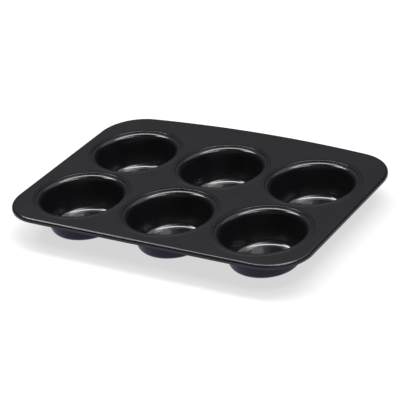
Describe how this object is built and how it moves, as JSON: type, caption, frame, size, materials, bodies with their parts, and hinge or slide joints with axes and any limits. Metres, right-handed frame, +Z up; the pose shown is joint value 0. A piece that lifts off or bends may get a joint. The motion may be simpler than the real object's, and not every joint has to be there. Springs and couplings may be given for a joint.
{
  "type": "muffin pan",
  "caption": "Rectangular muffin baking pan pressed from coated sheet steel, with round tapered cups in a flat plate, a bead round each cup and a turned-down, hemmed edge.",
  "frame": {"origin": "centre of the bounding box's bottom, on the plane that the cup bases stand on", "axes": "+X along the long side, +Y towards the wide, bowed back margin, +Z up out of the cups"},
  "size_m": [0.2646, 0.1966, 0.0281],
  "materials": {
    "coated_steel": "satin dark grey non-stick baking coat on both faces of the sheet"
  },
  "bodies": {
    "root": {"muffin_pan": "coated_steel"}
  },
  "joints": []
}
